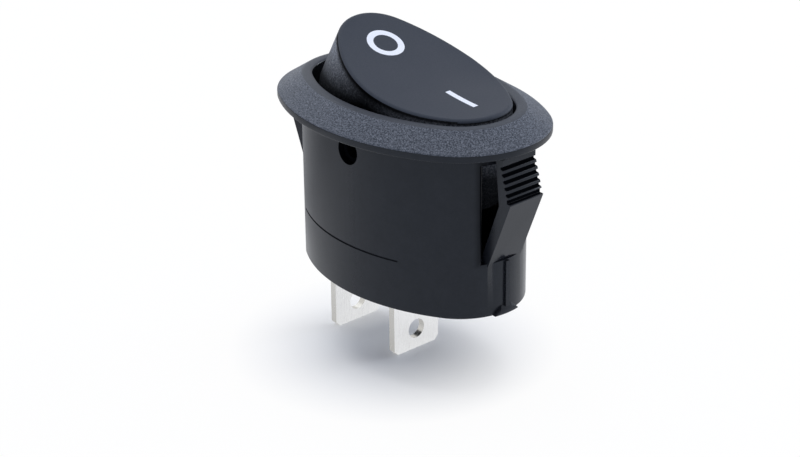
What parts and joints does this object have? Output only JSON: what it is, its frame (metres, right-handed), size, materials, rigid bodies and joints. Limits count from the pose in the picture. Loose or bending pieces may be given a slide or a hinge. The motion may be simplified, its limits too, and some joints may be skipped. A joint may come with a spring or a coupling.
{
  "type": "panel rocker switch",
  "caption": "Oval snap-in panel rocker switch, single pole, with a dished rocker, toothed snap arms and flat tab terminals, switched on.",
  "frame": {"origin": "middle of the panel cut-out, in the plane of the flange's underside", "axes": "+X along the oval's length towards the pressed, on end; +Y along the rocker's pivot; +Z out of the panel's front"},
  "size_m": [0.0336, 0.0226, 0.0356],
  "materials": {
    "body_plastic": "spark-textured black nylon flange, smoother satin body",
    "rocker_plastic": "fine matt black, moulded",
    "plunger_plastic": "natural acetal, smooth",
    "spring_steel": "bright drawn wire",
    "copper_strip": "rolled copper, satin",
    "contact_silver": "silver alloy, satin",
    "tinned_brass": "stamped brass sheet, tin plated, satin"
  },
  "bodies": {
    "housing": {"housing": "body_plastic", "centre_terminal": "tinned_brass", "end_terminal": "tinned_brass", "fixed_contact": "contact_silver"},
    "rocker": {"rocker": "rocker_plastic", "plunger_spring": "spring_steel"},
    "plunger": {"plunger": "plunger_plastic"},
    "contact_lever": {"contact_lever": "copper_strip", "moving_contact": "contact_silver"}
  },
  "joints": [
    {"name": "rocker_pivot", "type": "hinge", "parent": "housing", "child": "rocker", "pos_m": [0, 0, -0.0021], "axis": [0, 1, 0], "range_deg": [-29.6, 0]},
    {"name": "lever_pivot", "type": "hinge", "parent": "housing", "child": "contact_lever", "pos_m": [0, 0, -0.0119], "axis": [0, 1, 0], "range_deg": [0, 16]},
    {"name": "plunger_slide", "type": "slide", "parent": "rocker", "child": "plunger", "axis": [0.2554, 0, 0.9668], "range_m": [0, 0.0005], "stiffness_N_per_m": 200, "deforming": ["plunger_spring"]}
  ],
  "couplings": [
    {"joint": "lever_pivot", "follows": "rocker_pivot", "ratio": -0.54054}
  ]
}
